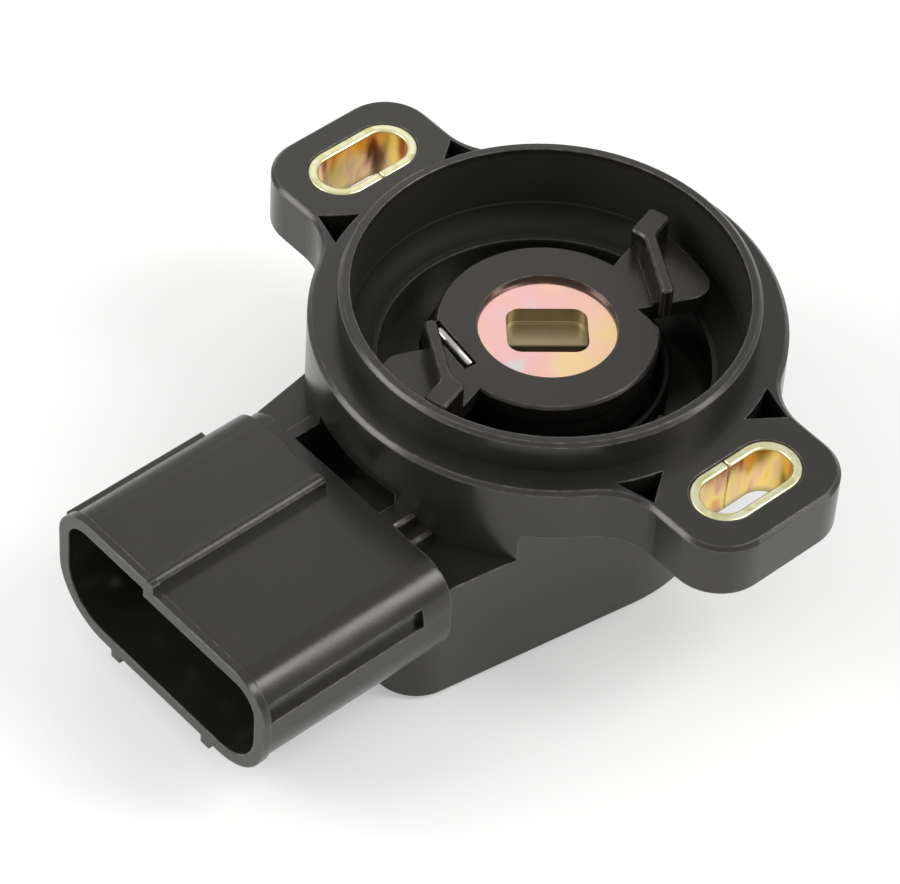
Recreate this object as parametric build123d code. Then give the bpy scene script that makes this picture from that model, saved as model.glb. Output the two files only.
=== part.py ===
from build123d import *
import os
from math import cos, radians, sin

# Accelerator pedal sensor. +Z is the rotor axis towards the open mouth, z = 0 is the mounting
# face of the two ears, and the connector points to -Y. All sizes are in millimetres.

# Spigot and cup
spigot_radius = 20.0
spigot_wall = 1.1
spigot_height = 3.5
spigot_chamfer = 0.35
cup_depth = 9.4
cup_floor_chamfer = 0.5
ledge_width = 2.9
ledge_floor = 1.6
well_depth = 3.6

# Mounting flange and ears
shoulder_width = 2.8
flange_thickness = 6.05
flange_edge = 0.4
slot_spacing = 54.0
slot_width = 4.4
slot_length = 10.0
bush_wall = 1.05
bush_seam = 0.25
ear_end = 6.2
ear_width = 18.2
ear_corner = 5.0
ear_blend = 6.5
core_out_depth = 4.4
core_out_skin = 0.8
core_out_angle = 19.7
core_out_span = 12.0
core_out_reach = 3.2

# Lower body
body_wall = 1.7
body_taper = 9.0
body_corner = 4.5
body_edge = 0.5
front_overhang = 5.5
shelf_drop = 3.35
partition_thickness = 3.0
front_wall = 2.4

# Connector shroud
neck_gap = 1.5
shroud_length = 22.7
shroud_width = 29.2
shroud_height = 12.8
shroud_depth = 7.4
shroud_wall = 1.1
shroud_top_corner = 3.8
shroud_bottom_corner = 6.2
cavity_depth = 17.5
lip_length = 0.9
lip_height = 0.25
panel_edge = -1.3
panel_height = 1.0
panel_rear_gap = 1.9
bead_radius = 0.7
bead_height = 0.35
side_groove_height = 2.1
side_groove_depth = 0.7
side_groove_drop = 3.15
side_groove_rear_gap = 3.4
rail_drop = 1.1
rail_thickness = 0.8
rail_proud = 0.25
rail_rear_gap = 5.7
key_spacing = 13.2
key_width = 1.2
key_height = 1.2
key_length = 8.0

# Neck between the shroud and the cup
pocket_left = -8.0
pocket_right = 4.1
pocket_depth = 5.6
pocket_undercut = 3.1
neck_wall_left = 1.3
neck_wall_right = 2.3
neck_step_width = 1.9
neck_step_drop = 1.0

# Bearing in the partition
shaft_radius = 3.5
bearing_clearance = 0.02
bearing_wall = 2.0
boss_wall = 2.0
boss_rise = 3.2
bearing_proud = 0.3
washer_thickness = 0.5
washer_gap = 0.05

# Rotor
hub_radius = 6.6
hub_face_depth = 2.1
hub_thickness = 2.8
hub_recess_draft = 0.12
drive_slot_length = 7.8
drive_slot_width = 5.7
drive_slot_depth = 1.9
drive_slot_corner = 1.4
drive_slot_angle = 51.0
disc_radius = 10.7
disc_depth = 1.5
disc_thickness = 1.8
disc_edge = 0.25
sleeve_wall = 1.7
sleeve_inset = 0.3
sleeve_length = 3.9

# Rotor lugs, measured on the lug at the +Y side
lug_clearance = 1.85
lug_end_angle = 65.8
lug_end_round = 2.2
notch_depth = 1.75
notch_span = 17.0
post_height = 2.8
post_root = 0.6
post_edge = 0.2
bar_angle = 60.5
bar_distance = 10.95
bar_thickness = 1.2
bar_start = -8.0
bar_end = 0.0
bar_chamfer = 0.3
foot_start = -7.2
foot_end = -1.05
foot_width = 0.55
foot_height = 0.25
flag_angle = 97.0
flag_turn = 9.0
flag_base = 13.3
flag_width = 2.35
flag_round = 0.5
flag_proud = 0.05
post_round = 1.5

# Stops between the rotor and the housing
travel = 90.0
stop_angle = -90.0
stop_tab_width = 3.0
stop_tab_drop = 4.2
stop_gap = 0.3
stop_rib_width = 2.0
stop_rib_drop = 2.2

# Return spring
wire_diameter = 0.9
wire_sides = 6
spring_turns = 3
spring_pitch = 1.0
spring_clearance = 0.75
spring_end_gap = 0.15
spring_end_angle = 220.0
spring_tail = 2.2
spring_steps = 16
wire_clearance = 0.1
wire_rise = 0.1
wire_bend = 0.6
leg_turn = -8.0
leg_wall = 1.85
leg_side_room = 0.4
leg_start = -5.1
leg_end = 0.3
leg_end_room = 0.35

# Wiper holder, wipers and board
holder_gap = 0.3
holder_clearance = 0.8
holder_thickness = 3.0
holder_hub_radius = 6.5
holder_arm_width = 8.0
clip_thickness = 0.6
clip_width = 2.0
clip_groove = 0.7
clip_mouth = 4.4
shaft_end = 0.9
wiper_thickness = 0.25
wiper_drop = 3.2
wiper_gap = 0.1
wiper_finger_width = 0.55
wiper_finger_length = 4.0
wiper_base_length = 3.2
wiper_tip = 0.7
track_thickness = 0.1
track_width = 1.7
track_inset = 1.4
track_spacing = 2.9
track_margin = 12.0
board_thickness = 1.0
board_clearance = 0.2
board_seat = 0.9
board_space = 2.3

# Rear cover
cover_recess = 2.0
cover_inset = 0.3
cover_clearance = 0.1
cover_rim = 1.3
cover_seat_width = 1.1
seal_width = 0.9
seal_height = 0.35

# Terminals
terminal_count = 4
terminal_pitch = 5.0
terminal_width = 2.2
terminal_thickness = 0.64
terminal_tip = 0.6
terminal_drop = 6.9
terminal_recess = 6.0
terminal_tail_width = 1.2
terminal_tail_gap = 1.6
terminal_tail_proud = 0.8
channel_margin = 1.8
channel_roof = 2.5
solder_radius = 1.2
solder_tip = 0.8
solder_sides = 8

# Radii and distances that follow
cup_radius = spigot_radius - spigot_wall
well_radius = cup_radius - ledge_width
flange_radius = spigot_radius + shoulder_width
body_radius = well_radius + body_wall
collar_radius = cup_radius + body_wall
body_front = flange_radius + front_overhang
shroud_rear = flange_radius + neck_gap
shroud_front = shroud_rear + shroud_length
slot_x = slot_spacing / 2
ear_reach = slot_x + ear_end
bearing_radius = shaft_radius + bearing_clearance
bearing_outer = bearing_radius + bearing_wall
boss_radius = bearing_outer + boss_wall
sleeve_radius = disc_radius - sleeve_inset
coil_radius = sleeve_radius + spring_clearance + wire_diameter / 2
lug_radius = cup_radius - lug_clearance
flag_length = lug_radius + flag_proud - flag_base
post_fillet = min(post_round, flag_length - 2 * flag_round)
board_room = body_radius - cover_rim - cover_seat_width
chamber_radius = board_room - board_seat
board_radius = board_room - board_clearance
holder_radius = chamber_radius - holder_clearance
resistor_track_radius = holder_radius - track_inset
collector_track_radius = resistor_track_radius - track_spacing
stop_inner = coil_radius + wire_diameter / 2 + spring_clearance
leg_y = -(hub_radius + hub_recess_draft + leg_wall + wire_diameter / 2)
terminal_span = (terminal_count - 1) * terminal_pitch
channel_half = terminal_span / 2 + terminal_width / 2 + channel_margin
tail_y = -(body_front - front_wall - terminal_tail_gap)

# Levels that follow
ledge_z = spigot_height - cup_depth
well_z = ledge_z - well_depth
partition_z = well_z - partition_thickness
shelf_z = -flange_thickness - shelf_drop
shroud_top_z = -shroud_depth
shroud_bottom_z = shroud_top_z - shroud_height
shroud_mid_z = (shroud_top_z + shroud_bottom_z) / 2
terminal_z = shroud_top_z - terminal_drop
pocket_z = shroud_top_z - pocket_depth
bearing_top_z = well_z + boss_rise + bearing_proud
washer_top_z = bearing_top_z + washer_thickness
disc_z = -disc_depth
disc_bottom_z = disc_z - disc_thickness
hub_z = -hub_face_depth
hub_bottom_z = hub_z - hub_thickness
hub_seat_z = washer_top_z + washer_gap
sleeve_z = disc_bottom_z - sleeve_length
holder_top_z = partition_z - holder_gap
holder_z = holder_top_z - holder_thickness
board_top_z = holder_z - wiper_drop
board_z = board_top_z - board_thickness
cover_seat_z = board_z - board_space
base_z = cover_seat_z - cover_recess
channel_top_z = terminal_z - channel_roof

rising = (Align.CENTER, Align.CENTER, Align.MIN)


def prism(face, low, high):
    return extrude(Pos(0, 0, low) * face, high - low)


def ring(outer, inner, low, high):
    return prism(Circle(outer) - Circle(inner), low, high)


def block(x, y, z):
    size = (x[1] - x[0], y[1] - y[0], z[1] - z[0])
    return Pos(x[0], y[0], z[0]) * Box(*size, align=Align.MIN)


def polar(radius, angle):
    return (radius * cos(radians(angle)), radius * sin(radians(angle)))


def outline(points):
    return make_face(Polyline(*points, close=True))


def wedge(radius, start, stop):
    reach = 2 * radius
    middle = (start + stop) / 2
    slice_plan = outline([(0, 0), polar(reach, start), polar(reach, middle), polar(reach, stop)])
    return Circle(radius) & slice_plan


def sector(inner, outer, start, stop):
    return wedge(outer, start, stop) - Circle(inner)


def both_lugs(shape):
    return shape + Rot(0, 0, 180) * shape


def slot_hole(width, length):
    return Rot(0, 0, 90) * SlotOverall(length, width)


# Plan of the lower body: a round back with two tapered sides that run to the front wall
def body_plan(inset):
    radius = body_radius - inset
    front = body_front - inset
    slope = radians(body_taper)
    side_x = (radius - sin(slope) * front) / cos(slope)
    tangent = (radius * cos(slope), -radius * sin(slope))
    wedge = outline([tangent, (side_x, -front), (-side_x, -front), (-tangent[0], tangent[1])])
    corners = wedge.vertices().group_by(Axis.Y)[0]
    return Circle(radius) + fillet(corners, body_corner - inset)


# Section of the connector shroud, seen along the mating direction
def shroud_section(inset, rise=0.0):
    height = shroud_height + rise - 2 * inset
    middle = shroud_mid_z + rise / 2
    face = Pos(0, middle) * Rectangle(shroud_width - 2 * inset, height)
    face = fillet(face.vertices().group_by(Axis.Y)[-1], shroud_top_corner - inset)
    return fillet(face.vertices().group_by(Axis.Y)[0], shroud_bottom_corner - inset)


# The same section where the raised panel stands on its left part
def panel_section(inset):
    left = Pos(panel_edge - inset, shroud_mid_z) * Rectangle(
        shroud_width, 2 * shroud_height, align=(Align.MAX, Align.CENTER)
    )
    return shroud_section(inset) + (shroud_section(inset, panel_height) & left)


def along_shroud(face, rear, front):
    return extrude(Plane.XZ.offset(rear) * face, front - rear)


def flange_with_ears():
    plan = Circle(flange_radius) + RectangleRounded(2 * ear_reach, ear_width, ear_corner)
    edge_y = ear_width / 2
    inner = plan.vertices().filter_by(
        lambda v: abs(abs(v.Y) - edge_y) < 0.01 and abs(v.X) < flange_radius
    )
    plate = prism(fillet(inner, ear_blend), -flange_thickness, 0)
    return chamfer(plate.edges().group_by(Axis.Z)[-1], flange_edge)


# A three-sided core-out between the spigot, the ear's side and the bush
def ear_core_out():
    inner = flange_radius - core_out_skin
    low = polar(inner, core_out_angle - core_out_span / 2)
    high = polar(inner, core_out_angle + core_out_span / 2)
    plan = outline([low, polar(inner + core_out_reach, core_out_angle), high]) - Circle(inner)
    return prism(plan, -core_out_depth, 0)


def connector():
    half = shroud_width / 2
    panel_rear = shroud_rear + panel_rear_gap
    lip_rear = shroud_front - lip_length
    shell = along_shroud(shroud_section(0), shroud_rear, shroud_front)
    shell += along_shroud(panel_section(0), panel_rear, shroud_front)
    shell += along_shroud(panel_section(-lip_height), lip_rear, shroud_front)
    bead_z = shroud_top_z + panel_height + bead_height - bead_radius
    bead = Pos(panel_edge - bead_radius, bead_z) * Circle(bead_radius)
    shell += along_shroud(bead, panel_rear, shroud_front)
    rail_z = shroud_top_z - rail_drop
    rail_x = (-half - rail_proud, -half + shroud_top_corner)
    rail_y = (-lip_rear, -shroud_rear - rail_rear_gap)
    shell += block(rail_x, rail_y, (rail_z - rail_thickness, rail_z))
    for side in (-1, 1):
        key_x = side * key_spacing / 2
        key = (key_x - key_width / 2, key_x + key_width / 2)
        key_y = (-shroud_front, -shroud_front + key_length)
        shell += block(key, key_y, (shroud_bottom_z - key_height, shroud_bottom_z + shroud_wall / 2))
    return shell


# Long grooves in the two sides of the shroud, closed at the rear
def side_grooves():
    half = shroud_width / 2
    groove_z = shroud_top_z - side_groove_drop
    along = (-shroud_front + lip_length, -shroud_rear - side_groove_rear_gap)
    up = (groove_z - side_groove_height / 2, groove_z + side_groove_height / 2)
    right = block((half - side_groove_depth, half + side_groove_depth), along, up)
    return right + mirror(right, Plane.YZ)


def neck():
    rear = (-shroud_rear - neck_gap, -well_radius)
    walls = block((pocket_left - neck_wall_left, pocket_left), rear, (shelf_z, shroud_top_z))
    outer = pocket_right + neck_wall_right
    walls += block((pocket_right, outer), rear, (shelf_z, shroud_top_z))
    step_z = shroud_top_z - neck_step_drop
    walls += block((outer, outer + neck_step_width), rear, (shelf_z, step_z))
    return walls


def stop_rib(face_angle, direction):
    middle = stop_inner + (well_radius - stop_inner) / 2
    width = direction * stop_rib_width / radians(1) / middle
    angles = sorted((face_angle, face_angle + width))
    rib = sector(stop_inner, well_radius + body_wall / 2, *angles)
    return prism(rib, well_z, min(disc_bottom_z - stop_rib_drop, ledge_z))


def stop_half_angle():
    return (stop_tab_width / 2 + stop_gap) / radians(1) / stop_inner


def terminal(x):
    half = terminal_thickness / 2
    tip_y = -(shroud_front - terminal_recess)
    wide = (x - terminal_width / 2, x + terminal_width / 2)
    blade = block(wide, (tip_y, tail_y + half), (terminal_z - half, terminal_z + half))
    tip_edges = blade.edges().group_by(Axis.Y)[0].filter_by(Axis.Z)
    blade = chamfer(tip_edges, terminal_tip)
    leg_y = (tail_y - half, tail_y + half)
    blade += block(wide, leg_y, (board_top_z + board_thickness, terminal_z))
    tail = (x - terminal_tail_width / 2, x + terminal_tail_width / 2)
    return blade + block(tail, leg_y, (board_z - terminal_tail_proud, terminal_z))


def terminal_places():
    return [index * terminal_pitch - terminal_span / 2 for index in range(terminal_count)]


# The room behind the partition that holds the wipers, the board and the terminal tails
def rear_chamber():
    room = prism(Circle(chamber_radius), cover_seat_z, partition_z)
    room += prism(Circle(board_room), cover_seat_z, board_top_z)
    front = (-(body_front - front_wall), -chamber_radius / 2)
    room += block((-channel_half, channel_half), front, (cover_seat_z, channel_top_z))
    return room


def board_plan(clearance):
    half = channel_half - clearance
    front = -(body_front - front_wall) + clearance
    tab = Pos(0, front) * Rectangle(2 * half, -front, align=(Align.CENTER, Align.MIN))
    return Circle(board_radius) + tab


# Points on the coil's middle line, from its low end to its high end
def coil_points():
    low = well_z + wire_diameter / 2 + spring_end_gap
    points = []
    for step in range(spring_turns * spring_steps + 1):
        turns = step / spring_steps
        place = polar(coil_radius, spring_end_angle + 360 * turns)
        points.append(Vector(*place, low + spring_pitch * turns))
    return points


# Points along a path with rounded bends, a wire's diameter apart or closer
def bend_points(*corners):
    path = FilletPolyline(*corners, radius=wire_bend)
    count = int(2 * path.length / wire_diameter)
    return [path @ (step / count) for step in range(1, count + 1)]


def spring_tail_turn():
    first, second = coil_points()[:2]
    return first + (first - second).normalized() * wire_diameter


# The upper leg leaves the coil, climbs beside the sleeve and lies in a slit of the rotor plate
def spring_points():
    coil = coil_points()
    turn = spring_tail_turn()
    foot = turn - Vector(0, 0, spring_tail)
    run = coil[-1] + (coil[-1] - coil[-2]).normalized() * wire_diameter
    bed_z = disc_z + wire_rise - wire_diameter / 2
    climb = Vector(leg_start, leg_y, run.Z).rotate(Axis.Z, leg_turn)
    bed = Vector(leg_start, leg_y, bed_z).rotate(Axis.Z, leg_turn)
    end = Vector(leg_end, leg_y, bed_z).rotate(Axis.Z, leg_turn)
    tail = bend_points(coil[0], turn, foot)
    return tail[::-1] + coil + bend_points(coil[-1], run, climb, bed, end)


# The wire is a loft through many-sided sections, each with one corner away from the rotor's axis
def return_spring():
    points = spring_points()
    before = points[:1] + points[:-1]
    after = points[1:] + points[-1:]
    sections = []
    for last, point, following in zip(before, points, after):
        along = (following - last).normalized()
        outward = Vector(point.X, point.Y, 0)
        outward -= along * outward.dot(along)
        place = Plane(point, x_dir=outward, z_dir=along)
        sections.append(place * RegularPolygon(wire_diameter / 2, wire_sides))
    return loft(sections, ruled=True)


def spring_tail_hole():
    turn = spring_tail_turn()
    radius = wire_diameter / 2 + wire_clearance
    depth = spring_tail + spring_end_gap
    return Pos(turn.X, turn.Y, turn.Z - depth) * Cylinder(radius, depth, align=rising)


def housing():
    body = chamfer(
        prism(body_plan(0), base_z, -flange_thickness).edges().group_by(Axis.Z)[0], body_edge
    )
    outside = Circle(2 * body_front) - Circle(flange_radius)
    body -= prism(outside, shelf_z, 0)
    spigot = prism(Circle(spigot_radius), -flange_thickness, spigot_height)
    case = flange_with_ears() + chamfer(spigot.edges().group_by(Axis.Z)[-1], spigot_chamfer)
    case += prism(Circle(collar_radius), ledge_z - ledge_floor, -flange_thickness)
    case += body + connector() + neck()
    case -= along_shroud(panel_section(shroud_wall), shroud_front - cavity_depth, shroud_front)
    case -= side_grooves()
    pocket_y = (-shroud_rear, -(flange_radius - pocket_undercut))
    case -= block((pocket_left, pocket_right), pocket_y, (pocket_z, -flange_thickness))
    cup = prism(Circle(cup_radius), ledge_z, spigot_height)
    case -= chamfer(cup.edges().group_by(Axis.Z)[0], cup_floor_chamfer)
    case -= prism(Circle(well_radius), well_z, ledge_z)
    case += prism(Circle(boss_radius), well_z, well_z + boss_rise)
    case -= rear_chamber()
    case -= prism(body_plan(cover_rim), base_z, cover_seat_z)
    case -= prism(Circle(bearing_outer), partition_z, well_z + boss_rise)
    case -= spring_tail_hole()
    half = stop_half_angle()
    case += stop_rib(stop_angle - half, -1)
    case += stop_rib(stop_angle + travel + half, 1)
    core_out = ear_core_out()
    core_out += mirror(core_out, Plane.YZ)
    case -= core_out + mirror(core_out, Plane.XZ)
    outer = slot_hole(slot_width + 2 * bush_wall, slot_length + 2 * bush_wall)
    for side in (-1, 1):
        case -= prism(Pos(side * slot_x, 0) * outer, -flange_thickness, 0)
    for x in terminal_places():
        case -= terminal(x)
    return case


# A steel strip rolled to a slot shape, with its seam on the side that faces the cup
def ear_bush(side):
    outer = slot_hole(slot_width + 2 * bush_wall, slot_length + 2 * bush_wall)
    strip = outer - slot_hole(slot_width, slot_length)
    seam = Pos(-side * (slot_width + bush_wall) / 2, 0) * Rectangle(2 * bush_wall, bush_seam)
    return prism(Pos(side * slot_x, 0) * (strip - seam), -flange_thickness, 0)


def bearing_bush():
    return ring(bearing_outer, bearing_radius, partition_z, bearing_top_z)


def thrust_washer():
    return ring(bearing_outer, bearing_radius, bearing_top_z, washer_top_z)


def drive_hub():
    shaft_z = holder_z - clip_thickness - shaft_end
    hub = prism(Circle(hub_radius), hub_bottom_z, hub_z) + prism(Circle(shaft_radius), shaft_z, hub_z)
    slot = RectangleRounded(drive_slot_length, drive_slot_width, drive_slot_corner)
    hub -= prism(Rot(0, 0, drive_slot_angle) * slot, hub_z - drive_slot_depth, hub_z)
    groove = ring(shaft_radius, shaft_radius - clip_groove, holder_z - clip_thickness, holder_z)
    return hub - groove


# A strip beside the lug's bar: start and stop run along the bar, inner and outer from the axis
def bar_strip(start, stop, inner, outer):
    strip = Rectangle(stop - start, outer - inner, align=Align.MIN)
    return Rot(0, 0, bar_angle - 90) * Pos(start, inner) * strip


def flag_plan(start):
    length = flag_length - start
    flag = Pos(start + length / 2, 0) * RectangleRounded(length, flag_width, flag_round)
    return Pos(*polar(flag_base, flag_angle)) * Rot(0, 0, flag_angle + flag_turn) * flag


# The raised post: a bar with a chamfered free end that runs into the flag in two hollow curves
def post_plan():
    bar = bar_strip(bar_start, bar_end, bar_distance, bar_distance + bar_thickness)
    bar = chamfer(bar.vertices().sort_by(Axis.X)[-2:], bar_chamfer)
    root = Rot(0, 0, bar_angle - 90) * Pos(bar_start, bar_distance + bar_thickness / 2)
    plan = bar + flag_plan(0)
    return fillet(plan.vertices().sort_by_distance(root.position)[:2], post_fillet)


# Lug plate: it runs from the flag to a rounded end and out to the lug radius
def lug_plan():
    pad = wedge(lug_radius, lug_end_angle, flag_angle)
    end = pad.vertices().sort_by_distance(polar(lug_radius, lug_end_angle) + (0,))[0]
    return fillet(end, lug_end_round) + flag_plan(-flag_base / 2)


def lug():
    plate = prism(lug_plan(), disc_bottom_z, disc_z)
    post = prism(post_plan(), disc_z - post_root, disc_z + post_height)
    plate += chamfer(post.edges().group_by(Axis.Z)[-1], post_edge)
    foot = bar_strip(foot_start, foot_end, bar_distance - foot_width, bar_distance)
    return plate + prism(foot, disc_z, disc_z + foot_height)


# An open notch in the disc's edge, beside the end of a lug
def disc_notch():
    side = lug_end_angle - notch_span
    tip = polar(disc_radius - notch_depth, lug_end_angle)
    far = 2 * disc_radius
    return outline([tip, polar(far, lug_end_angle), polar(far, side), polar(disc_radius, side)])


def rotor():
    core_radius = sleeve_radius - sleeve_wall
    disc = prism(Circle(disc_radius), disc_bottom_z, disc_z)
    plate = chamfer(disc.edges().group_by(Axis.Z)[-1], disc_edge)
    plate -= both_lugs(prism(disc_notch(), disc_bottom_z, disc_z))
    plate += both_lugs(lug())
    plate += prism(Circle(core_radius), hub_seat_z, disc_bottom_z)
    plate += ring(sleeve_radius, core_radius, sleeve_z, disc_bottom_z)
    plate += stop_tab()
    plate -= spring_bed()
    face_radius = hub_radius + hub_recess_draft
    recess = Cone(hub_radius, face_radius, disc_z - hub_z, align=rising)
    plate -= Pos(0, 0, hub_z) * recess
    plate -= prism(Circle(hub_radius), hub_bottom_z, hub_z)
    return plate - prism(Circle(shaft_radius), hub_seat_z, hub_bottom_z)


def stop_tab():
    half = stop_tab_width / 2 / radians(1) / stop_inner
    tab = sector(stop_inner, well_radius - stop_gap, stop_angle - half, stop_angle + half)
    return prism(tab, disc_bottom_z - stop_tab_drop, disc_bottom_z)


# The slit for the spring's leg, and the deeper gap in the sleeve where the leg climbs to it
def spring_bed():
    half = wire_diameter / 2
    rear = leg_start - half - leg_end_room
    across = (leg_y - half - leg_side_room, leg_y + half + wire_clearance)
    floor_z = disc_z + wire_rise - wire_diameter - wire_clearance
    slit = block((rear, leg_end + leg_end_room), across, (floor_z, disc_z))
    gap = block((rear, leg_start + half + wire_bend), across, (sleeve_z, disc_z))
    return Rot(0, 0, leg_turn) * (slit + gap)


def wiper_holder():
    arms = Rectangle(2 * holder_radius, holder_arm_width) & Circle(holder_radius)
    plan = Circle(holder_hub_radius) + arms - Circle(shaft_radius)
    return prism(plan, holder_z, holder_top_z)


def retaining_clip():
    inner = shaft_radius - clip_groove
    outer = shaft_radius + clip_width
    mouth = Rectangle(2 * outer, clip_mouth, align=(Align.MIN, Align.CENTER))
    plan = Circle(outer) - Circle(inner) - mouth
    return prism(plan, holder_z - clip_thickness, holder_z)


# One wiper: a base under the holder's arm and four sprung fingers that reach the tracks
def wiper(side):
    tip_z = board_top_z + track_thickness + wiper_gap
    half = wiper_thickness / 2
    top = holder_z - half
    low = tip_z + half
    run = wiper_base_length / 2
    end = run + wiper_finger_length
    heel = (end - wiper_tip, low)
    toe = (end, low + wiper_tip)
    line = Polyline((-run, top), (run, top), heel, toe)
    profile = trace(line, wiper_thickness)
    fingers = Part()
    radii = []
    for middle in (collector_track_radius, resistor_track_radius):
        radii += [middle - track_width / 4, middle + track_width / 4]
    for radius in radii:
        shape = extrude(Plane.YZ.offset(radius - wiper_finger_width / 2) * profile, wiper_finger_width)
        fingers += shape
    base_x = (radii[0] - wiper_finger_width / 2, radii[-1] + wiper_finger_width / 2)
    fingers += block(base_x, (-run, run), (holder_z - wiper_thickness, holder_z))
    return Rot(0, 0, 90 - 90 * side) * fingers


def wiper_tip_angle():
    return wiper_finger_length / resistor_track_radius / radians(1)


def tracks(radius):
    start = wiper_tip_angle() - track_margin
    stop = wiper_tip_angle() + travel + track_margin
    arc = sector(radius - track_width / 2, radius + track_width / 2, start, stop)
    return both_lugs(prism(arc, board_top_z, board_top_z + track_thickness))


def resistor_board():
    board = prism(board_plan(board_clearance), board_z, board_top_z)
    for x in terminal_places():
        board -= terminal(x)
    return board


def solder_joints():
    low = board_z - terminal_tail_proud
    joints = Part()
    for x in terminal_places():
        tip = Pos(x, tail_y, low) * RegularPolygon(solder_tip, solder_sides)
        root = Pos(x, tail_y, board_z) * RegularPolygon(solder_radius, solder_sides)
        joints += loft([tip, root]) - terminal(x)
    return joints


def rear_cover():
    plan = body_plan(cover_rim + cover_clearance)
    return prism(plan, base_z + cover_inset, cover_seat_z - seal_height)


def cover_seal():
    outer = cover_rim + cover_clearance
    strip = body_plan(outer) - body_plan(outer + seal_width)
    return prism(strip, cover_seat_z - seal_height, cover_seat_z)


nodes = {
    "housing": housing(),
    "bush_left": ear_bush(-1),
    "bush_right": ear_bush(1),
    "bearing_bush": bearing_bush(),
    "thrust_washer": thrust_washer(),
    "resistor_board": resistor_board(),
    "resistor_tracks": tracks(resistor_track_radius),
    "collector_tracks": tracks(collector_track_radius),
    "solder_joints": solder_joints(),
    "rear_cover": rear_cover(),
    "cover_seal": cover_seal(),
    "rotor": rotor(),
    "drive_hub": drive_hub(),
    "return_spring": return_spring(),
    "wiper_holder": wiper_holder(),
    "wiper_1": wiper(1),
    "wiper_2": wiper(-1),
    "retaining_clip": retaining_clip(),
}
for number, place in enumerate(terminal_places(), 1):
    nodes[f"terminal_{number}"] = terminal(place)

os.makedirs("parts", exist_ok=True)
for name, shape in nodes.items():
    export_step(shape, f"parts/{name}.step")
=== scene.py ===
import math

import bpy
import numpy as np
from mathutils import Matrix, Vector


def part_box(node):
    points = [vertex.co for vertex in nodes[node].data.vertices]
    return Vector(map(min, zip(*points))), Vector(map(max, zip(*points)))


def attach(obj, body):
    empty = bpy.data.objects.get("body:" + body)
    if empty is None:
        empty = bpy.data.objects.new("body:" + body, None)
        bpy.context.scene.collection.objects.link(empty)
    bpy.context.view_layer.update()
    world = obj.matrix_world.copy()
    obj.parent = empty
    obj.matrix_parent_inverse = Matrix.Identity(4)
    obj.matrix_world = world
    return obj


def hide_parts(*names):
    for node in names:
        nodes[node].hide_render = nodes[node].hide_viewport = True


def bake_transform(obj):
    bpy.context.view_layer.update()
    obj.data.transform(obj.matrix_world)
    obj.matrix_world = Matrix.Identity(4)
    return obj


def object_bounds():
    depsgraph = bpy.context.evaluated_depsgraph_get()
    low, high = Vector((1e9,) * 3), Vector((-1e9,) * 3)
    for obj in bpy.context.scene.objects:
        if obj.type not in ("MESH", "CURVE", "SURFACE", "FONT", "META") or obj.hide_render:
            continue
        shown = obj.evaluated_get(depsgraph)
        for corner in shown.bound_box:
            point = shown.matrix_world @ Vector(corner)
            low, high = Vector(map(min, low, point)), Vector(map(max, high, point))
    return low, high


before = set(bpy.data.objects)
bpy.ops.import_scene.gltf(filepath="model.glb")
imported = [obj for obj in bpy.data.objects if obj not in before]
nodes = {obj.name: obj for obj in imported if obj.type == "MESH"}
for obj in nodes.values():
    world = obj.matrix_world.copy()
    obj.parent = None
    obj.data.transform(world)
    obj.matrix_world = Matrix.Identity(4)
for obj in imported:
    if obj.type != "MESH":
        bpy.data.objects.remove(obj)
cadBox = [list(corner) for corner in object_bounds()]
mm = 0.001
print("frame loaded:", len(nodes), "nodes")


def linear(hexText):
    parts = [int(hexText[i:i + 2], 16) / 255 for i in (1, 3, 5)]
    return [c / 12.92 if c <= 0.04045 else ((c + 0.055) / 1.055) ** 2.4 for c in parts] + [1.0]


# Adds one node: settings are its own properties, inputs are values or links by socket name or number
def addNode(tree, kind, settings=None, inputs=None):
    node = tree.nodes.new(kind)
    for name, value in (settings or {}).items():
        setattr(node, name, value)
    for name, value in (inputs or {}).items():
        if isinstance(value, bpy.types.NodeSocket):
            tree.links.new(value, node.inputs[name])
        else:
            node.inputs[name].default_value = value
    return node


def newMaterial(name):
    material = bpy.data.materials.new(name)
    material.use_nodes = True
    tree = material.node_tree
    tree.nodes.clear()
    return material, tree, addNode(tree, "ShaderNodeTexCoord").outputs["Object"]


def finishMaterial(tree, shader):
    addNode(tree, "ShaderNodeOutputMaterial", inputs={"Surface": shader.outputs[0]})


def setRamp(node, stops):
    ramp = node.color_ramp
    while len(ramp.elements) < len(stops):
        ramp.elements.new(1.0)
    for element, (place, colour) in zip(ramp.elements, stops):
        element.position = place
        element.color = linear(colour)


# Noise scale whose patches are about this many millimetres across
def scaleOf(sizeMm):
    return 1.0 / (sizeMm * mm)


# Glass-filled PBT, moulded in a spark-eroded tool: a dense warm black that shows its form mostly by
# a satin sheen, with a fine dull grain, cloudy flow marks and edges painted paler in patches, partly as
# wear and partly as a painted highlight.
# The tool's texture is coarser inside the cup, so the wall there is dull
pbtLook = {
    "dark": "#171715", "pale": "#252421", "cloudMm": 7.0, "cloudSpan": (0.3, 0.7),
    "roughLow": 0.20, "roughHigh": 0.30, "ior": 1.55, "gloss": 0.5, "sheen": "#fdfaf2",
    "grainMm": 0.22, "bumpMm": 0.010, "bumpStrength": 0.6,
    # The pale edge colour is partly wear and partly a painted highlight
    "edge": "#a39d93", "edgeShare": 0.85, "edgeMm": 0.28, "edgeTurn": (0.99, 0.80),
    "cornerMm": 0.84, "cornerOpen": (0.80, 0.98),
    "scuffMm": 1.1, "scuffSpan": (0.4, 0.6), "scuffShare": (0.45, 1.3),
    "cupRadiusMm": 18.98, "cupTopMm": (3.3, 2.6), "cupLowMm": -6.3, "cupRough": 0.58, "cupPaleEdgeShare": 0.4,
}
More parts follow.
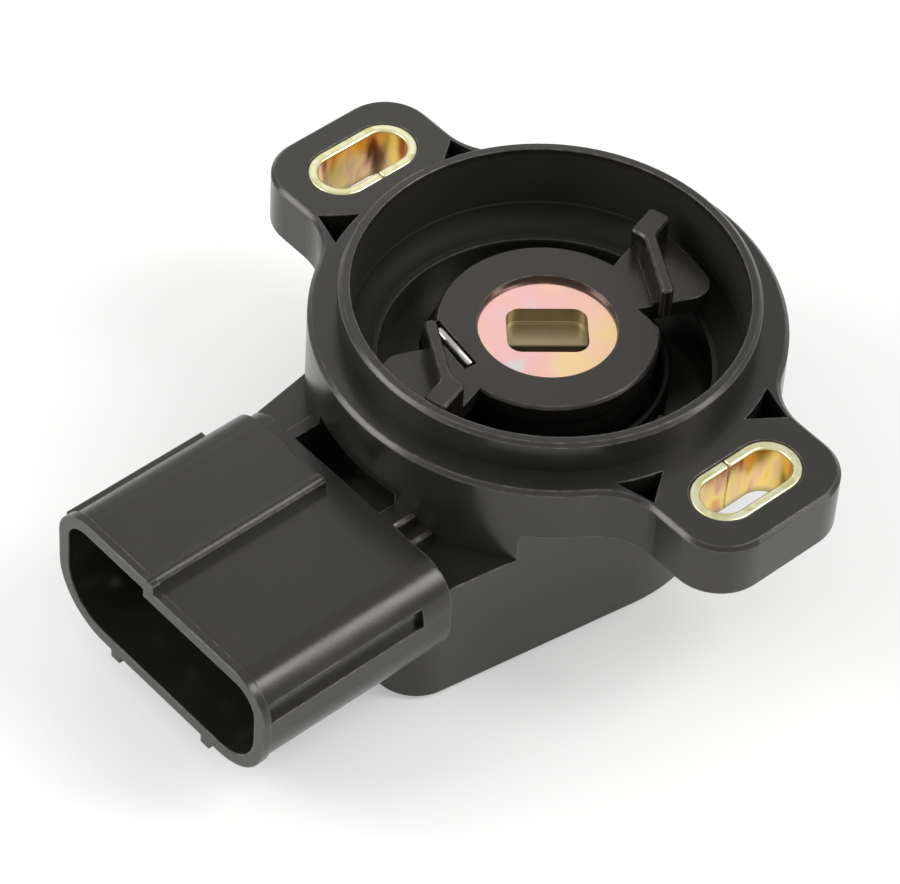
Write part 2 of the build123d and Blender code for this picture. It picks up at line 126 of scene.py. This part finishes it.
# The rotor: from a finer tool, with the same satin sheen down in the cup
rotorLook = {**pbtLook, "dark": "#181715", "pale": "#201e1c", "grainMm": 0.16, "cupRadiusMm": 0.0}
# The cup's cove: dull like the wall above it, with no pale edges of wear or painted highlight
coveLook = {**pbtLook, "edgeShare": 0.0, "edgeMm": 0.01, "cornerMm": 0.03, "cupRadiusMm": 0.0,
            "roughLow": 0.62, "roughHigh": 0.72, "gloss": 0.2}
# The neck's lips: painted grey all along, a painted highlight on their rounded edges
lipHighlightLook = {**pbtLook, "dark": "#47443f", "pale": "#5f5b54", "cloudMm": 0.8, "edgeShare": 0.0,
           "edgeMm": 0.01, "cornerMm": 0.03}


def makePbt(name, look):
    material, tree, coords = newMaterial(name)
    cloud = addNode(tree, "ShaderNodeTexNoise", None, {
        "Vector": coords, "Scale": scaleOf(look["cloudMm"]), "Detail": 4.0, "Roughness": 0.6})
    grain = addNode(tree, "ShaderNodeTexNoise", None, {
        "Vector": coords, "Scale": scaleOf(look["grainMm"]), "Detail": 2.0, "Roughness": 0.55})
    scuff = addNode(tree, "ShaderNodeTexNoise", None, {
        "Vector": coords, "Scale": scaleOf(look["scuffMm"]), "Detail": 2.0})
    tone = addNode(tree, "ShaderNodeMix", {"data_type": "RGBA"}, {
        "Factor": cloud.outputs["Fac"], 6: linear(look["dark"]), 7: linear(look["pale"])})
    # Where the rounded normal leaves the flat one there is an edge, and the edge is painted pale: partly real
    # wear, partly a painted highlight
    rounded = addNode(tree, "ShaderNodeBevel", {"samples": 4}, {"Radius": look["edgeMm"] * mm})
    flat = addNode(tree, "ShaderNodeNewGeometry")
    turn = addNode(tree, "ShaderNodeVectorMath", {"operation": "DOT_PRODUCT"}, {
        0: rounded.outputs[0], 1: flat.outputs["Normal"]})
    edge = addNode(tree, "ShaderNodeMapRange", None, {
        "Value": turn.outputs["Value"], "From Min": look["edgeTurn"][0], "From Max": look["edgeTurn"][1],
        "To Min": 0.0, "To Max": look["edgeShare"]})
    # Inner corners shade themselves: they stay sharp and get no pale edge, neither wear nor painted highlight
    bare = addNode(tree, "ShaderNodeAmbientOcclusion", {"samples": 4, "only_local": True}, {
        "Distance": look["cornerMm"] * mm})
    outer = addNode(tree, "ShaderNodeMapRange", None, {
        "Value": bare.outputs["AO"], "From Min": look["cornerOpen"][0], "From Max": look["cornerOpen"][1]})
    rounding = addNode(tree, "ShaderNodeMix", {"data_type": "VECTOR"}, {
        "Factor": outer.outputs["Result"], 4: flat.outputs["Normal"], 5: rounded.outputs[0]})
    # The cup's inside: within its radius, below the rim and above the ledge
    plan = addNode(tree, "ShaderNodeVectorMath", {"operation": "MULTIPLY"}, {0: coords, 1: (1, 1, 0)})
    fromAxis = addNode(tree, "ShaderNodeVectorMath", {"operation": "LENGTH"}, {0: plan.outputs[0]})
    height = addNode(tree, "ShaderNodeSeparateXYZ", None, {"Vector": coords})
    within = addNode(tree, "ShaderNodeMath", {"operation": "LESS_THAN"}, {
        0: fromAxis.outputs["Value"], 1: look["cupRadiusMm"] * mm})
    aboveLedge = addNode(tree, "ShaderNodeMath", {"operation": "GREATER_THAN"}, {
        0: height.outputs["Z"], 1: look["cupLowMm"] * mm})
    belowRim = addNode(tree, "ShaderNodeMapRange", None, {
        "Value": height.outputs["Z"], "From Min": look["cupTopMm"][0] * mm,
        "From Max": look["cupTopMm"][1] * mm})
    inCup = belowRim.outputs["Result"]
    for share in (aboveLedge.outputs[0], within.outputs[0]):
        inCup = addNode(tree, "ShaderNodeMath", {"operation": "MULTIPLY"}, {0: inCup, 1: share}).outputs[0]
    # Pale patches come and go along an edge, and inside the cup the pale edges, wear and painted highlight
    # alike, are weaker
    patches = addNode(tree, "ShaderNodeMapRange", None, {
        "Value": scuff.outputs["Fac"], "From Min": look["scuffSpan"][0], "From Max": look["scuffSpan"][1],
        "To Min": look["scuffShare"][0], "To Max": look["scuffShare"][1]})
    cupEdgeDimming = addNode(tree, "ShaderNodeMapRange", None, {
        "Value": inCup, "To Min": 1.0, "To Max": look["cupPaleEdgeShare"]})
    wornAndHighlit = edge.outputs["Result"]
    for share in (outer.outputs["Result"], cloud.outputs["Fac"], patches.outputs["Result"],
                  cupEdgeDimming.outputs["Result"]):
        wornAndHighlit = addNode(tree, "ShaderNodeMath", {"operation": "MULTIPLY"}, {0: wornAndHighlit, 1: share}).outputs[0]
    colour = addNode(tree, "ShaderNodeMix", {"data_type": "RGBA"}, {
        "Factor": wornAndHighlit, 6: tone.outputs[2], 7: linear(look["edge"])})
    rough = addNode(tree, "ShaderNodeMapRange", None, {
        "Value": cloud.outputs["Fac"], "From Min": look["cloudSpan"][0], "From Max": look["cloudSpan"][1],
        "To Min": look["roughLow"], "To Max": look["roughHigh"]})
    dulled = addNode(tree, "ShaderNodeMix", {"data_type": "FLOAT"}, {
        "Factor": inCup, 2: rough.outputs["Result"], 3: look["cupRough"]})
    bump = addNode(tree, "ShaderNodeBump", None, {
        "Strength": look["bumpStrength"], "Distance": look["bumpMm"] * mm, "Height": grain.outputs["Fac"],
        "Normal": rounding.outputs[1]})
    shader = addNode(tree, "ShaderNodeBsdfPrincipled", None, {
        "Base Color": colour.outputs[2], "Roughness": dulled.outputs[0], "IOR": look["ior"],
        "Specular IOR Level": look["gloss"], "Specular Tint": linear(look["sheen"]),
        "Normal": bump.outputs["Normal"]})
    finishMaterial(tree, shader)
    return material


# Zinc plate with a yellow chromate film, rolled: pale straw on the rims, and inside the slot a film
# that drifts from brown through peach, straw and gold to rose in streaks that run up the wall, painted
# darker towards its low end
bushLook = {
    "face": [(0.35, "#d8d79a"), (0.50, "#efeec8"), (0.65, "#e2dfa6")],
    "wall": [(0.30, "#7b5c38"), (0.38, "#d59c7e"), (0.46, "#edc691"), (0.54, "#f2d574"), (0.62, "#e9b652"),
             (0.72, "#d08a72")],
    "faceZ": -0.12, "blendMm": 0.2,
    "patchMm": 2.6, "stretch": (1.0, 1.0, 0.35), "turn": 0.0, "drift": 0.6,
    "paleLine": "#efeec8", "paleLineZ": -5.9, "paleLineMm": 0.15,
    "darkTone": "#8a8658", "darkAcross": (0.0, 0.0, -1.0), "darkMm": (5.0, 6.0),
    "lineMm": 0.12, "bumpMm": 0.006, "faceRough": 0.30, "wallRough": 0.30,
}
# The same plate on the turned hub: a rose and peach film with a pale blue drift on its face, and a
# dull khaki in the drive slot, where the film is thicker; the foot of the slot's wall has a painted
# highlight, and one side of the slot a painted shade
hubLook = {
    "face": [(0.36, "#ebcb98"), (0.46, "#ecc3a9"), (0.54, "#e9b8ae"), (0.62, "#e6b9b8"), (0.70, "#c9d3d6")],
    "wall": [(0.35, "#948a6e"), (0.50, "#a3987b"), (0.65, "#b0a384")],
    "faceZ": -2.14, "blendMm": 0.05,
    "patchMm": 9.0, "stretch": (1.0, -1.0, 1.0), "turn": 90.0, "drift": 0.2,
    # The pale line at the foot of the slot's wall is a painted highlight; the dark tone along one side is
    # painted shade
    "paleLine": "#f4ecd4", "paleLineZ": -3.86, "paleLineMm": 0.12,
    "darkTone": "#2e2a1c", "darkAcross": (0.777, -0.629, 0.0), "darkMm": (0.0, 0.35),
    "lineMm": 0.18, "bumpMm": 0.004, "faceRough": 0.16, "wallRough": 0.42,
}


def makeChromate(name, look):
    material, tree, coords = newMaterial(name)
    drawn = addNode(tree, "ShaderNodeMapping", None, {
        "Vector": coords, "Scale": look["stretch"], "Rotation": (0, 0, math.radians(look["turn"]))})
    patch = addNode(tree, "ShaderNodeTexNoise", None, {
        "Vector": drawn.outputs[0], "Scale": scaleOf(look["patchMm"]), "Detail": 2.5,
        "Roughness": 0.5, "Distortion": look["drift"]})
    face = addNode(tree, "ShaderNodeValToRGB", None, {"Fac": patch.outputs["Fac"]})
    setRamp(face, look["face"])
    wall = addNode(tree, "ShaderNodeValToRGB", None, {"Fac": patch.outputs["Fac"]})
    setRamp(wall, look["wall"])
    height = addNode(tree, "ShaderNodeSeparateXYZ", None, {"Vector": coords})
    faceShare = addNode(tree, "ShaderNodeMapRange", None, {
        "Value": height.outputs["Z"], "From Min": (look["faceZ"] - look["blendMm"]) * mm,
        "From Max": look["faceZ"] * mm})
    # The pale line lies within its width of its height, brightest at the middle; on the hub it is a painted
    # highlight at the foot of the slot's wall
    paleLineGap = addNode(tree, "ShaderNodeMath", {"operation": "SUBTRACT"}, {
        0: height.outputs["Z"], 1: look["paleLineZ"] * mm})
    paleLineAway = addNode(tree, "ShaderNodeMath", {"operation": "ABSOLUTE"}, {0: paleLineGap.outputs[0]})
    paleLineShare = addNode(tree, "ShaderNodeMapRange", None, {
        "Value": paleLineAway.outputs[0], "From Min": look["paleLineMm"] * mm, "From Max": 0.0})
    wallFilm = addNode(tree, "ShaderNodeMix", {"data_type": "RGBA"}, {
        "Factor": paleLineShare.outputs["Result"], 6: wall.outputs["Color"], 7: linear(look["paleLine"])})
    # The dark tone darkens the wall from the first to the second distance along its own direction; on the hub
    # it is painted shade along one side of the slot
    darkAcross = addNode(tree, "ShaderNodeVectorMath", {"operation": "DOT_PRODUCT"}, {
        0: coords, 1: look["darkAcross"]})
    darkShare = addNode(tree, "ShaderNodeMapRange", None, {
        "Value": darkAcross.outputs["Value"], "From Min": look["darkMm"][0] * mm,
        "From Max": look["darkMm"][1] * mm})
    darkened = addNode(tree, "ShaderNodeMix", {"data_type": "RGBA"}, {
        "Factor": darkShare.outputs["Result"], 6: wallFilm.outputs[2], 7: linear(look["darkTone"])})
    film = addNode(tree, "ShaderNodeMix", {"data_type": "RGBA"}, {
        "Factor": faceShare.outputs["Result"], 6: darkened.outputs[2], 7: face.outputs["Color"]})
    lines = addNode(tree, "ShaderNodeTexNoise", None, {
        "Vector": drawn.outputs[0], "Scale": scaleOf(look["lineMm"]), "Detail": 1.0})
    rough = addNode(tree, "ShaderNodeMapRange", None, {
        "Value": faceShare.outputs["Result"], "To Min": look["wallRough"], "To Max": look["faceRough"]})
    bump = addNode(tree, "ShaderNodeBump", None, {
        "Strength": 0.35, "Distance": look["bumpMm"] * mm, "Height": lines.outputs["Fac"]})
    shader = addNode(tree, "ShaderNodeBsdfPrincipled", None, {
        "Base Color": film.outputs[2], "Metallic": 1.0, "Roughness": rough.outputs["Result"],
        "Normal": bump.outputs["Normal"]})
    finishMaterial(tree, shader)
    return material


# A plain metal, moulding or print: two close tones in soft clouds, and a fine grain as bump
def makeClouded(look):
    material, tree, coords = newMaterial(look["name"])
    cloud = addNode(tree, "ShaderNodeTexNoise", None, {
        "Vector": coords, "Scale": scaleOf(look["cloudMm"]), "Detail": 3.0})
    grain = addNode(tree, "ShaderNodeTexNoise", None, {
        "Vector": coords, "Scale": scaleOf(look["grainMm"]), "Detail": 1.5})
    tone = addNode(tree, "ShaderNodeMix", {"data_type": "RGBA"}, {
        "Factor": cloud.outputs["Fac"], 6: linear(look["dark"]), 7: linear(look["pale"])})
    bump = addNode(tree, "ShaderNodeBump", None, {
        "Strength": 0.4, "Distance": look["bumpMm"] * mm, "Height": grain.outputs["Fac"]})
    shader = addNode(tree, "ShaderNodeBsdfPrincipled", None, {
        "Base Color": tone.outputs[2], "Metallic": look["metal"], "Roughness": look["rough"],
        "Normal": bump.outputs["Normal"]})
    finishMaterial(tree, shader)
    return material


# Music wire, drawn: a bright grey leg with a sharp glint, and coils painted darker and made rougher lower
# down in the well: painted shade
wireLook = {"clean": "#c4c2bc", "paintedShade": "#2b2925", "cleanZ": -2.6, "paintedShadeZ": -4.2,
            "cleanRough": 0.26, "deepRough": 0.55, "grainMm": 0.12, "bumpMm": 0.004}


def makeWire(name, look):
    material, tree, coords = newMaterial(name)
    height = addNode(tree, "ShaderNodeSeparateXYZ", None, {"Vector": coords})
    paintedShade = addNode(tree, "ShaderNodeMapRange", None, {
        "Value": height.outputs["Z"], "From Min": look["cleanZ"] * mm, "From Max": look["paintedShadeZ"] * mm})
    colour = addNode(tree, "ShaderNodeMix", {"data_type": "RGBA"}, {
        "Factor": paintedShade.outputs["Result"], 6: linear(look["clean"]), 7: linear(look["paintedShade"])})
    rough = addNode(tree, "ShaderNodeMapRange", None, {
        "Value": paintedShade.outputs["Result"], "To Min": look["cleanRough"], "To Max": look["deepRough"]})
    grain = addNode(tree, "ShaderNodeTexNoise", None, {
        "Vector": coords, "Scale": scaleOf(look["grainMm"]), "Detail": 1.5})
    bump = addNode(tree, "ShaderNodeBump", None, {
        "Strength": 0.4, "Distance": look["bumpMm"] * mm, "Height": grain.outputs["Fac"]})
    shader = addNode(tree, "ShaderNodeBsdfPrincipled", None, {
        "Base Color": colour.outputs[2], "Metallic": 1.0, "Roughness": rough.outputs["Result"],
        "Normal": bump.outputs["Normal"]})
    finishMaterial(tree, shader)
    return material


innerLooks = {
    # Spring steel, stamped: a blued grey with dull faces
    "retaining_clip": {"name": "spring_steel_stamped", "dark": "#55534f", "pale": "#7b7873", "metal": 1.0,
                       "rough": 0.38, "cloudMm": 2.0, "grainMm": 0.15, "bumpMm": 0.006},
    # Bronze, sintered: brown, open-pored and dull
    "bearing_bush": {"name": "bronze_sintered", "dark": "#6e4c25", "pale": "#a1763f", "metal": 1.0,
                     "rough": 0.48, "cloudMm": 1.2, "grainMm": 0.12, "bumpMm": 0.02},
    # Nylon, stamped from sheet: cream white and waxy
    "thrust_washer": {"name": "nylon_stamped", "dark": "#bdb7a6", "pale": "#dcd7c8", "metal": 0.0,
                      "rough": 0.5, "cloudMm": 3.0, "grainMm": 0.2, "bumpMm": 0.01},
    # PBT with no pigment, moulded: a satin ivory
    "wiper_holder": {"name": "natural_pbt_moulded", "dark": "#b9b29c", "pale": "#d6d0bc", "metal": 0.0,
                     "rough": 0.48, "cloudMm": 4.0, "grainMm": 0.2, "bumpMm": 0.01},
    # Nickel silver, stamped: a warm bright sheet metal
    "wiper_1": {"name": "nickel_silver_stamped", "dark": "#b6a878", "pale": "#dccf9f", "metal": 1.0,
                "rough": 0.28, "cloudMm": 1.5, "grainMm": 0.1, "bumpMm": 0.005},
    # Phenolic paper, pressed: a flat tan brown
    "resistor_board": {"name": "phenolic_paper_pressed", "dark": "#5a3d20", "pale": "#7d5930", "metal": 0.0,
                       "rough": 0.42, "cloudMm": 5.0, "grainMm": 0.3, "bumpMm": 0.01},
    # Carbon ink, screen printed: a soft sooty black
    "resistor_tracks": {"name": "carbon_ink_printed", "dark": "#141413", "pale": "#232322", "metal": 0.0,
                        "rough": 0.5, "cloudMm": 2.0, "grainMm": 0.12, "bumpMm": 0.01},
    # Silver ink, screen printed: a dull pale metal
    "collector_tracks": {"name": "silver_ink_printed", "dark": "#9d9c98", "pale": "#c8c7c2", "metal": 1.0,
                         "rough": 0.42, "cloudMm": 2.0, "grainMm": 0.12, "bumpMm": 0.01},
    # Solder, reflowed: bright, with small frosted patches
    "solder_joints": {"name": "solder_reflowed", "dark": "#8f8f8c", "pale": "#c4c4c0", "metal": 1.0,
                      "rough": 0.3, "cloudMm": 0.9, "grainMm": 0.2, "bumpMm": 0.01},
    # Nitrile rubber, moulded: a dead black with almost no sheen
    "cover_seal": {"name": "nitrile_rubber_moulded", "dark": "#161616", "pale": "#242423", "metal": 0.0,
                   "rough": 0.62, "cloudMm": 3.0, "grainMm": 0.2, "bumpMm": 0.01},
    # Brass strip, stamped and tin plated: a soft silvery metal with a yellow cast
    "terminal_1": {"name": "tinned_brass_stamped", "dark": "#a9a598", "pale": "#d3cfc2", "metal": 1.0,
                   "rough": 0.3, "cloudMm": 1.6, "grainMm": 0.14, "bumpMm": 0.005},
}
sameLook = {"wiper_2": "wiper_1", "terminal_2": "terminal_1", "terminal_3": "terminal_1",
            "terminal_4": "terminal_1"}


def paint(nodeName, material):
    nodes[nodeName].data.materials.clear()
    nodes[nodeName].data.materials.append(material)


housingPbt = makePbt("glass_filled_pbt_moulded", pbtLook)
rotorPbt = makePbt("glass_filled_pbt_moulded_fine", rotorLook)
covePbt = makePbt("glass_filled_pbt_moulded_core", coveLook)
lipHighlightPbt = makePbt("glass_filled_pbt_moulded_painted_highlight", lipHighlightLook)
bushChromate = makeChromate("zinc_plate_chromated_rolled", bushLook)
musicWire = makeWire("music_wire_drawn", wireLook)
paint("housing", housingPbt)
paint("rear_cover", housingPbt)
paint("rotor", rotorPbt)
paint("drive_hub", makeChromate("zinc_plate_chromated_turned", hubLook))
paint("return_spring", musicWire)
for nodeName, look in innerLooks.items():
    paint(nodeName, makeClouded(look))
for nodeName, twin in sameLook.items():
    paint(nodeName, nodes[twin].data.materials[0])
print("materials set:", len(bpy.data.materials))


# Puts vertex and face arrays into one new mesh object at the origin
def meshFrom(name, points, faces, material):
    mesh = bpy.data.meshes.new(name)
    mesh.from_pydata(points.tolist(), [], faces)
    mesh.polygons.foreach_set("use_smooth", [True] * len(mesh.polygons))
    mesh.materials.append(material)
    mesh.update()
    piece = bpy.data.objects.new(name, mesh)
    bpy.context.scene.collection.objects.link(piece)
    return piece


# Faces of a grid whose columns close on themselves: a quad for each cell, row r to row (r + 1) % rows
def loopFaces(rows, columns, lastRow):
    r, c = np.meshgrid(np.arange(lastRow), np.arange(columns), indexing="ij")
    ahead, above = (c + 1) % columns, (r + 1) % rows
    corners = [r * columns + c, r * columns + ahead, above * columns + ahead, above * columns + c]
    return np.stack(corners, -1).reshape(-1, 4).tolist()


# Faces of a tube: the grid is open from end to end, with a cap on each end
def tubeFaces(rows, columns):
    caps = [list(range(columns))[::-1], list(range((rows - 1) * columns, rows * columns))]
    return loopFaces(rows, columns, rows - 1) + caps


# Ear bushes: a strip carried round a slot, its rims rolled over a small radius, open at the seam
bushSet = {"wall": 1.05, "seam": 0.22, "rim": 0.3, "steps": 140, "cornerSteps": 6}


# Slot path from the middle of its inner side: each point's distance along the slot gives the nearest
# point of the slot's middle line, and the path is that point plus radius * outward direction
def slotPath(radius, straight, seam, steps):
    arc = math.pi * radius
    s = np.linspace(seam / 2, 2 * straight + 2 * arc - seam / 2, steps)
    half = straight / 2
    lowTurn = np.clip((s - half) / radius, 0, math.pi)
    highTurn = np.clip((s - half - arc - straight) / radius, 0, math.pi)
    angle = math.pi + lowTurn + highTurn
    middle = np.interp(s, [0, half, half + arc, half + arc + straight, half + 2 * arc + straight,
                           2 * straight + 2 * arc], [0, -half, -half, half, half, 0])
    outward = np.stack([np.cos(angle), np.sin(angle)], -1)
    return radius * outward + np.stack([0 * middle, middle], -1), outward


# Wall section: a rounded rectangle, corner centre + rim * (cos, sin) for each corner in turn
def wallSection(wall, thick, rim, steps):
    quarter = np.linspace(0, math.pi / 2, steps)
    angle = np.concatenate([quarter + math.pi / 2 * k for k in range(4)])
    across = np.repeat([1, -1, -1, 1], steps) * (wall / 2 - rim) + rim * np.cos(angle)
    along = np.repeat([1, 1, -1, -1], steps) * (thick / 2 - rim) + rim * np.sin(angle)
    return across, along


def makeBush(name, node, side, cfg):
    low, high = (np.array(corner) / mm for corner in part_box(node))
    width, length, thick = high - low
    middle = (low + high) / 2
    radius = (width - cfg["wall"]) / 2
    path, outward = slotPath(radius, length - width, cfg["seam"], cfg["steps"])
    across, along = wallSection(cfg["wall"], thick, cfg["rim"], cfg["cornerSteps"])
    plan = (path[:, None] + outward[:, None] * across[None, :, None]) * (side, 1)
    height = np.broadcast_to(along[None, :, None], plan.shape[:2] + (1,))
    points = (np.concatenate([plan, height], -1) + middle).reshape(-1, 3)
    faces = tubeFaces(cfg["steps"], len(across))
    if side > 0:
        faces = [face[::-1] for face in faces]
    piece = meshFrom(name, points * mm, faces, bushChromate)
    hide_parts(node)
    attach(piece, "housing")


makeBush("bush_rolled_left", "bush_left", -1, bushSet)
makeBush("bush_rolled_right", "bush_right", 1, bushSet)
print("bushes rolled")


# Cup cove: the hollow curve where the cup's wall runs into its ledge, moulded with the housing
coveSet = {"wall": 18.87, "ledge": -5.9, "radius": 2.4, "sunk": 0.4, "arcSteps": 12, "turnSteps": 180}


# Profile: centre + radius * (sin a, -cos a) over a quarter turn, then back through the wall and ledge.
# The ring is that profile turned about Z: (r cos b, r sin b, z)
def makeCove(cfg):
    a = np.linspace(0, math.pi / 2, cfg["arcSteps"])
    inner, outer = cfg["wall"] - cfg["radius"], cfg["wall"] + cfg["sunk"]
    top, low = cfg["ledge"] + cfg["radius"], cfg["ledge"] - cfg["sunk"]
    across = np.concatenate([inner + cfg["radius"] * np.sin(a), [outer, outer, inner]])
    height = np.concatenate([top - cfg["radius"] * np.cos(a), [top, low, low]])
    b = np.linspace(0, 2 * math.pi, cfg["turnSteps"], endpoint=False)[:, None]
    points = np.stack([across * np.cos(b), across * np.sin(b), height + 0 * b], -1).reshape(-1, 3)
    faces = loopFaces(cfg["turnSteps"], len(across), cfg["turnSteps"])
    piece = meshFrom("cup_cove", points * mm, faces, covePbt)
    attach(piece, "housing")


makeCove(coveSet)
print("cup cove turned")


# Return spring: a round wire carried along a tail, a helix and a leg that lies in the rotor's slit
springSet = {
    "wire": 0.9, "radius": 11.6, "turns": 3, "pitch": 1.0, "low": -8.9, "endAngle": 220.0, "tail": 2.2,
    "legTurn": -8.0, "legStart": -5.1, "legEnd": 0.3, "legY": -9.02, "legZ": -1.85,
    "bend": 0.45, "bendSteps": 6, "turnSteps": 72, "sides": 14,
}


# Each corner p between a and c becomes the curve a(1-t)^2 + 2pt(1-t) + ct^2, cut this far from it
def roundBends(points, cut, steps):
    before, corner, after = points[:-2], points[1:-1], points[2:]
    start = corner + cut * (before - corner) / np.linalg.norm(before - corner, axis=1, keepdims=True)
    stop = corner + cut * (after - corner) / np.linalg.norm(after - corner, axis=1, keepdims=True)
    t = np.linspace(0, 1, steps)[None, :, None]
    curves = start[:, None] * (1 - t) ** 2 + 2 * corner[:, None] * t * (1 - t) + stop[:, None] * t ** 2
    return np.concatenate([points[:1], curves.reshape(-1, 3), points[-1:]])


# helix(t) = (radius cos, radius sin, low + pitch * t) for t turns from the end angle
def springPath(cfg):
    t = np.linspace(0, cfg["turns"], cfg["turns"] * cfg["turnSteps"])
    angle = math.radians(cfg["endAngle"]) + 2 * math.pi * t
    coil = np.stack([cfg["radius"] * np.cos(angle), cfg["radius"] * np.sin(angle),
                     cfg["low"] + cfg["pitch"] * t], -1)
    back = (coil[0] - coil[1]) / np.linalg.norm(coil[0] - coil[1])
    ahead = (coil[-1] - coil[-2]) / np.linalg.norm(coil[-1] - coil[-2])
    turn = coil[0] + back * cfg["wire"]
    run = coil[-1] + ahead * cfg["wire"]
    legTurn = math.radians(cfg["legTurn"])
    c, s = math.cos(legTurn), math.sin(legTurn)
    x = np.array([cfg["legStart"], cfg["legStart"], cfg["legEnd"]])
    leg = np.stack([x * c - cfg["legY"] * s, x * s + cfg["legY"] * c, [run[2], cfg["legZ"], cfg["legZ"]]], -1)
    tail = roundBends(np.array([turn - (0, 0, cfg["tail"]), turn, coil[0]]), cfg["bend"], cfg["bendSteps"])
    upper = roundBends(np.concatenate([[coil[-1], run], leg]), cfg["bend"], cfg["bendSteps"])
    return np.concatenate([tail[:-1], coil, upper[1:]])


# Ring of points round each path point: path + wire / 2 * (side cos + up sin), side faces outwards
def wireAlong(path, wire, sides):
    along = np.gradient(path, axis=0)
    along /= np.linalg.norm(along, axis=1, keepdims=True)
    up = np.cross(along, path * (1, 1, 0))
    up /= np.linalg.norm(up, axis=1, keepdims=True)
    side = np.cross(up, along)
    angle = np.linspace(0, 2 * math.pi, sides, endpoint=False)[None, :, None]
    rings = path[:, None] + wire / 2 * (side[:, None] * np.cos(angle) + up[:, None] * np.sin(angle))
    return rings.reshape(-1, 3), tubeFaces(len(path), sides)


springPoints, springFaces = wireAlong(springPath(springSet), springSet["wire"], springSet["sides"])
spring = meshFrom("return_spring_coil", springPoints * mm, springFaces, musicWire)
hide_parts("return_spring")
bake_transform(spring)
print("spring wound")


# Neck lips: the soft rounded lips along the two steps between the shroud and the cup, moulded with
# the housing. Each is a round bar carried along Y, sunk into the step's corner
lipSet = {
    "radius": 0.30, "sunk": 0.18, "along": (-24.28, -21.5), "sides": 24,
    "corners": {"neck_lip_upper": (6.4, -7.4), "neck_lip_lower": (8.3, -8.4)},
}
for lipName, (cornerX, cornerZ) in lipSet["corners"].items():
    lipX, lipZ = cornerX - lipSet["sunk"], cornerZ - lipSet["sunk"]
    lipPath = np.array([(lipX, y, lipZ) for y in lipSet["along"]])
    lipPoints, lipFaces = wireAlong(lipPath, 2 * lipSet["radius"], lipSet["sides"])
    # The lips' paler grey is a painted highlight
    lip = meshFrom(lipName, lipPoints * mm, lipFaces, lipHighlightPbt)
    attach(lip, "housing")
print("neck lips laid")


# Stage: a pale board under the base, painted matt and faintly lit from below so that it gives no glare,
# and white surroundings that the satin plastic mirrors
stageSet = {"floor": "#cececd", "floorRough": 0.9, "floorGlow": 0.34, "glow": "#ffffff", "sizeM": 3.0,
            "gapMm": 0.05, "worldStrength": 0.72, "lightTarget": (0, -0.015, -0.01)}
half = stageSet["sizeM"] / 2
floorZ = cadBox[0][2] - stageSet["gapMm"] * mm
floorMesh = bpy.data.meshes.new("floor")
floorCorners = [(x, y, floorZ) for x, y in ((-half, -half), (half, -half), (half, half), (-half, half))]
floorMesh.from_pydata(floorCorners, [], [(0, 1, 2, 3)])
floorMaterial, floorTree, _ = newMaterial("painted_board_matt")
finishMaterial(floorTree, addNode(floorTree, "ShaderNodeBsdfPrincipled", None, {
    "Base Color": linear(stageSet["floor"]), "Roughness": stageSet["floorRough"],
    "Emission Color": linear(stageSet["glow"]), "Emission Strength": stageSet["floorGlow"]}))
floorMesh.materials.append(floorMaterial)
floor = bpy.data.objects.new("floor", floorMesh)
bpy.context.scene.collection.objects.link(floor)

world = bpy.data.worlds.new("studio")
world.use_nodes = True
surroundings = world.node_tree.nodes["Background"]
surroundings.inputs["Color"].default_value = linear(stageSet["glow"])
surroundings.inputs["Strength"].default_value = stageSet["worldStrength"]
bpy.context.scene.world = world

# Soft boxes: the first lights the shoulder and rim, the second the far ear, the third fills the front
lightSet = [
    {"name": "shoulderSoftbox", "place": (0.30, 0.26, 0.37), "size": (0.14, 0.42), "watts": 1.3},
    {"name": "earSoftbox", "place": (-0.17, 0.12, 0.17), "size": (0.10, 0.10), "watts": 0.015},
    {"name": "fillSoftbox", "place": (-0.28, -0.42, 0.30), "size": (0.30, 0.30), "watts": 1.6},
]
lightTarget = Vector(stageSet["lightTarget"])
for cfg in lightSet:
    lamp = bpy.data.lights.new(cfg["name"], "AREA")
    lamp.shape = "RECTANGLE"
    lamp.size, lamp.size_y = cfg["size"]
    lamp.energy = cfg["watts"]
    lampObject = bpy.data.objects.new(cfg["name"], lamp)
    lampObject.location = cfg["place"]
    lampObject.rotation_euler = (lightTarget - lampObject.location).to_track_quat("-Z", "Y").to_euler()
    bpy.context.scene.collection.objects.link(lampObject)

# Camera: direction, roll and distance of the photograph
cameraSet = {"azimuth": 45.802, "elevation": 47.278, "roll": 3.994, "distance": 0.42864,
             "target": (0.006418, -0.018045, 0.0), "lens": 186.76, "sensor": 36.0, "nearest": 0.01}
azimuth, elevation, roll = (math.radians(cameraSet[key]) for key in ("azimuth", "elevation", "roll"))
right = Vector((math.cos(azimuth), math.sin(azimuth), 0))
back = Vector((right.y * math.cos(elevation), -right.x * math.cos(elevation), math.sin(elevation)))
up = back.cross(right)
rolledRight = right * math.cos(roll) + up * math.sin(roll)
rolledUp = up * math.cos(roll) - right * math.sin(roll)
cameraData = bpy.data.cameras.new("camera")
cameraData.lens = cameraSet["lens"]
cameraData.sensor_width = cameraSet["sensor"]
cameraData.sensor_fit = "HORIZONTAL"
cameraData.clip_start = cameraSet["nearest"]
camera = bpy.data.objects.new("camera", cameraData)
place = Vector(cameraSet["target"]) + back * cameraSet["distance"]
turned = Matrix((rolledRight, rolledUp, back)).transposed().to_4x4()
camera.matrix_world = Matrix.Translation(place) @ turned
bpy.context.scene.collection.objects.link(camera)
bpy.context.scene.camera = camera
bpy.context.scene.view_settings.view_transform = "Standard"
print("stage and camera set")
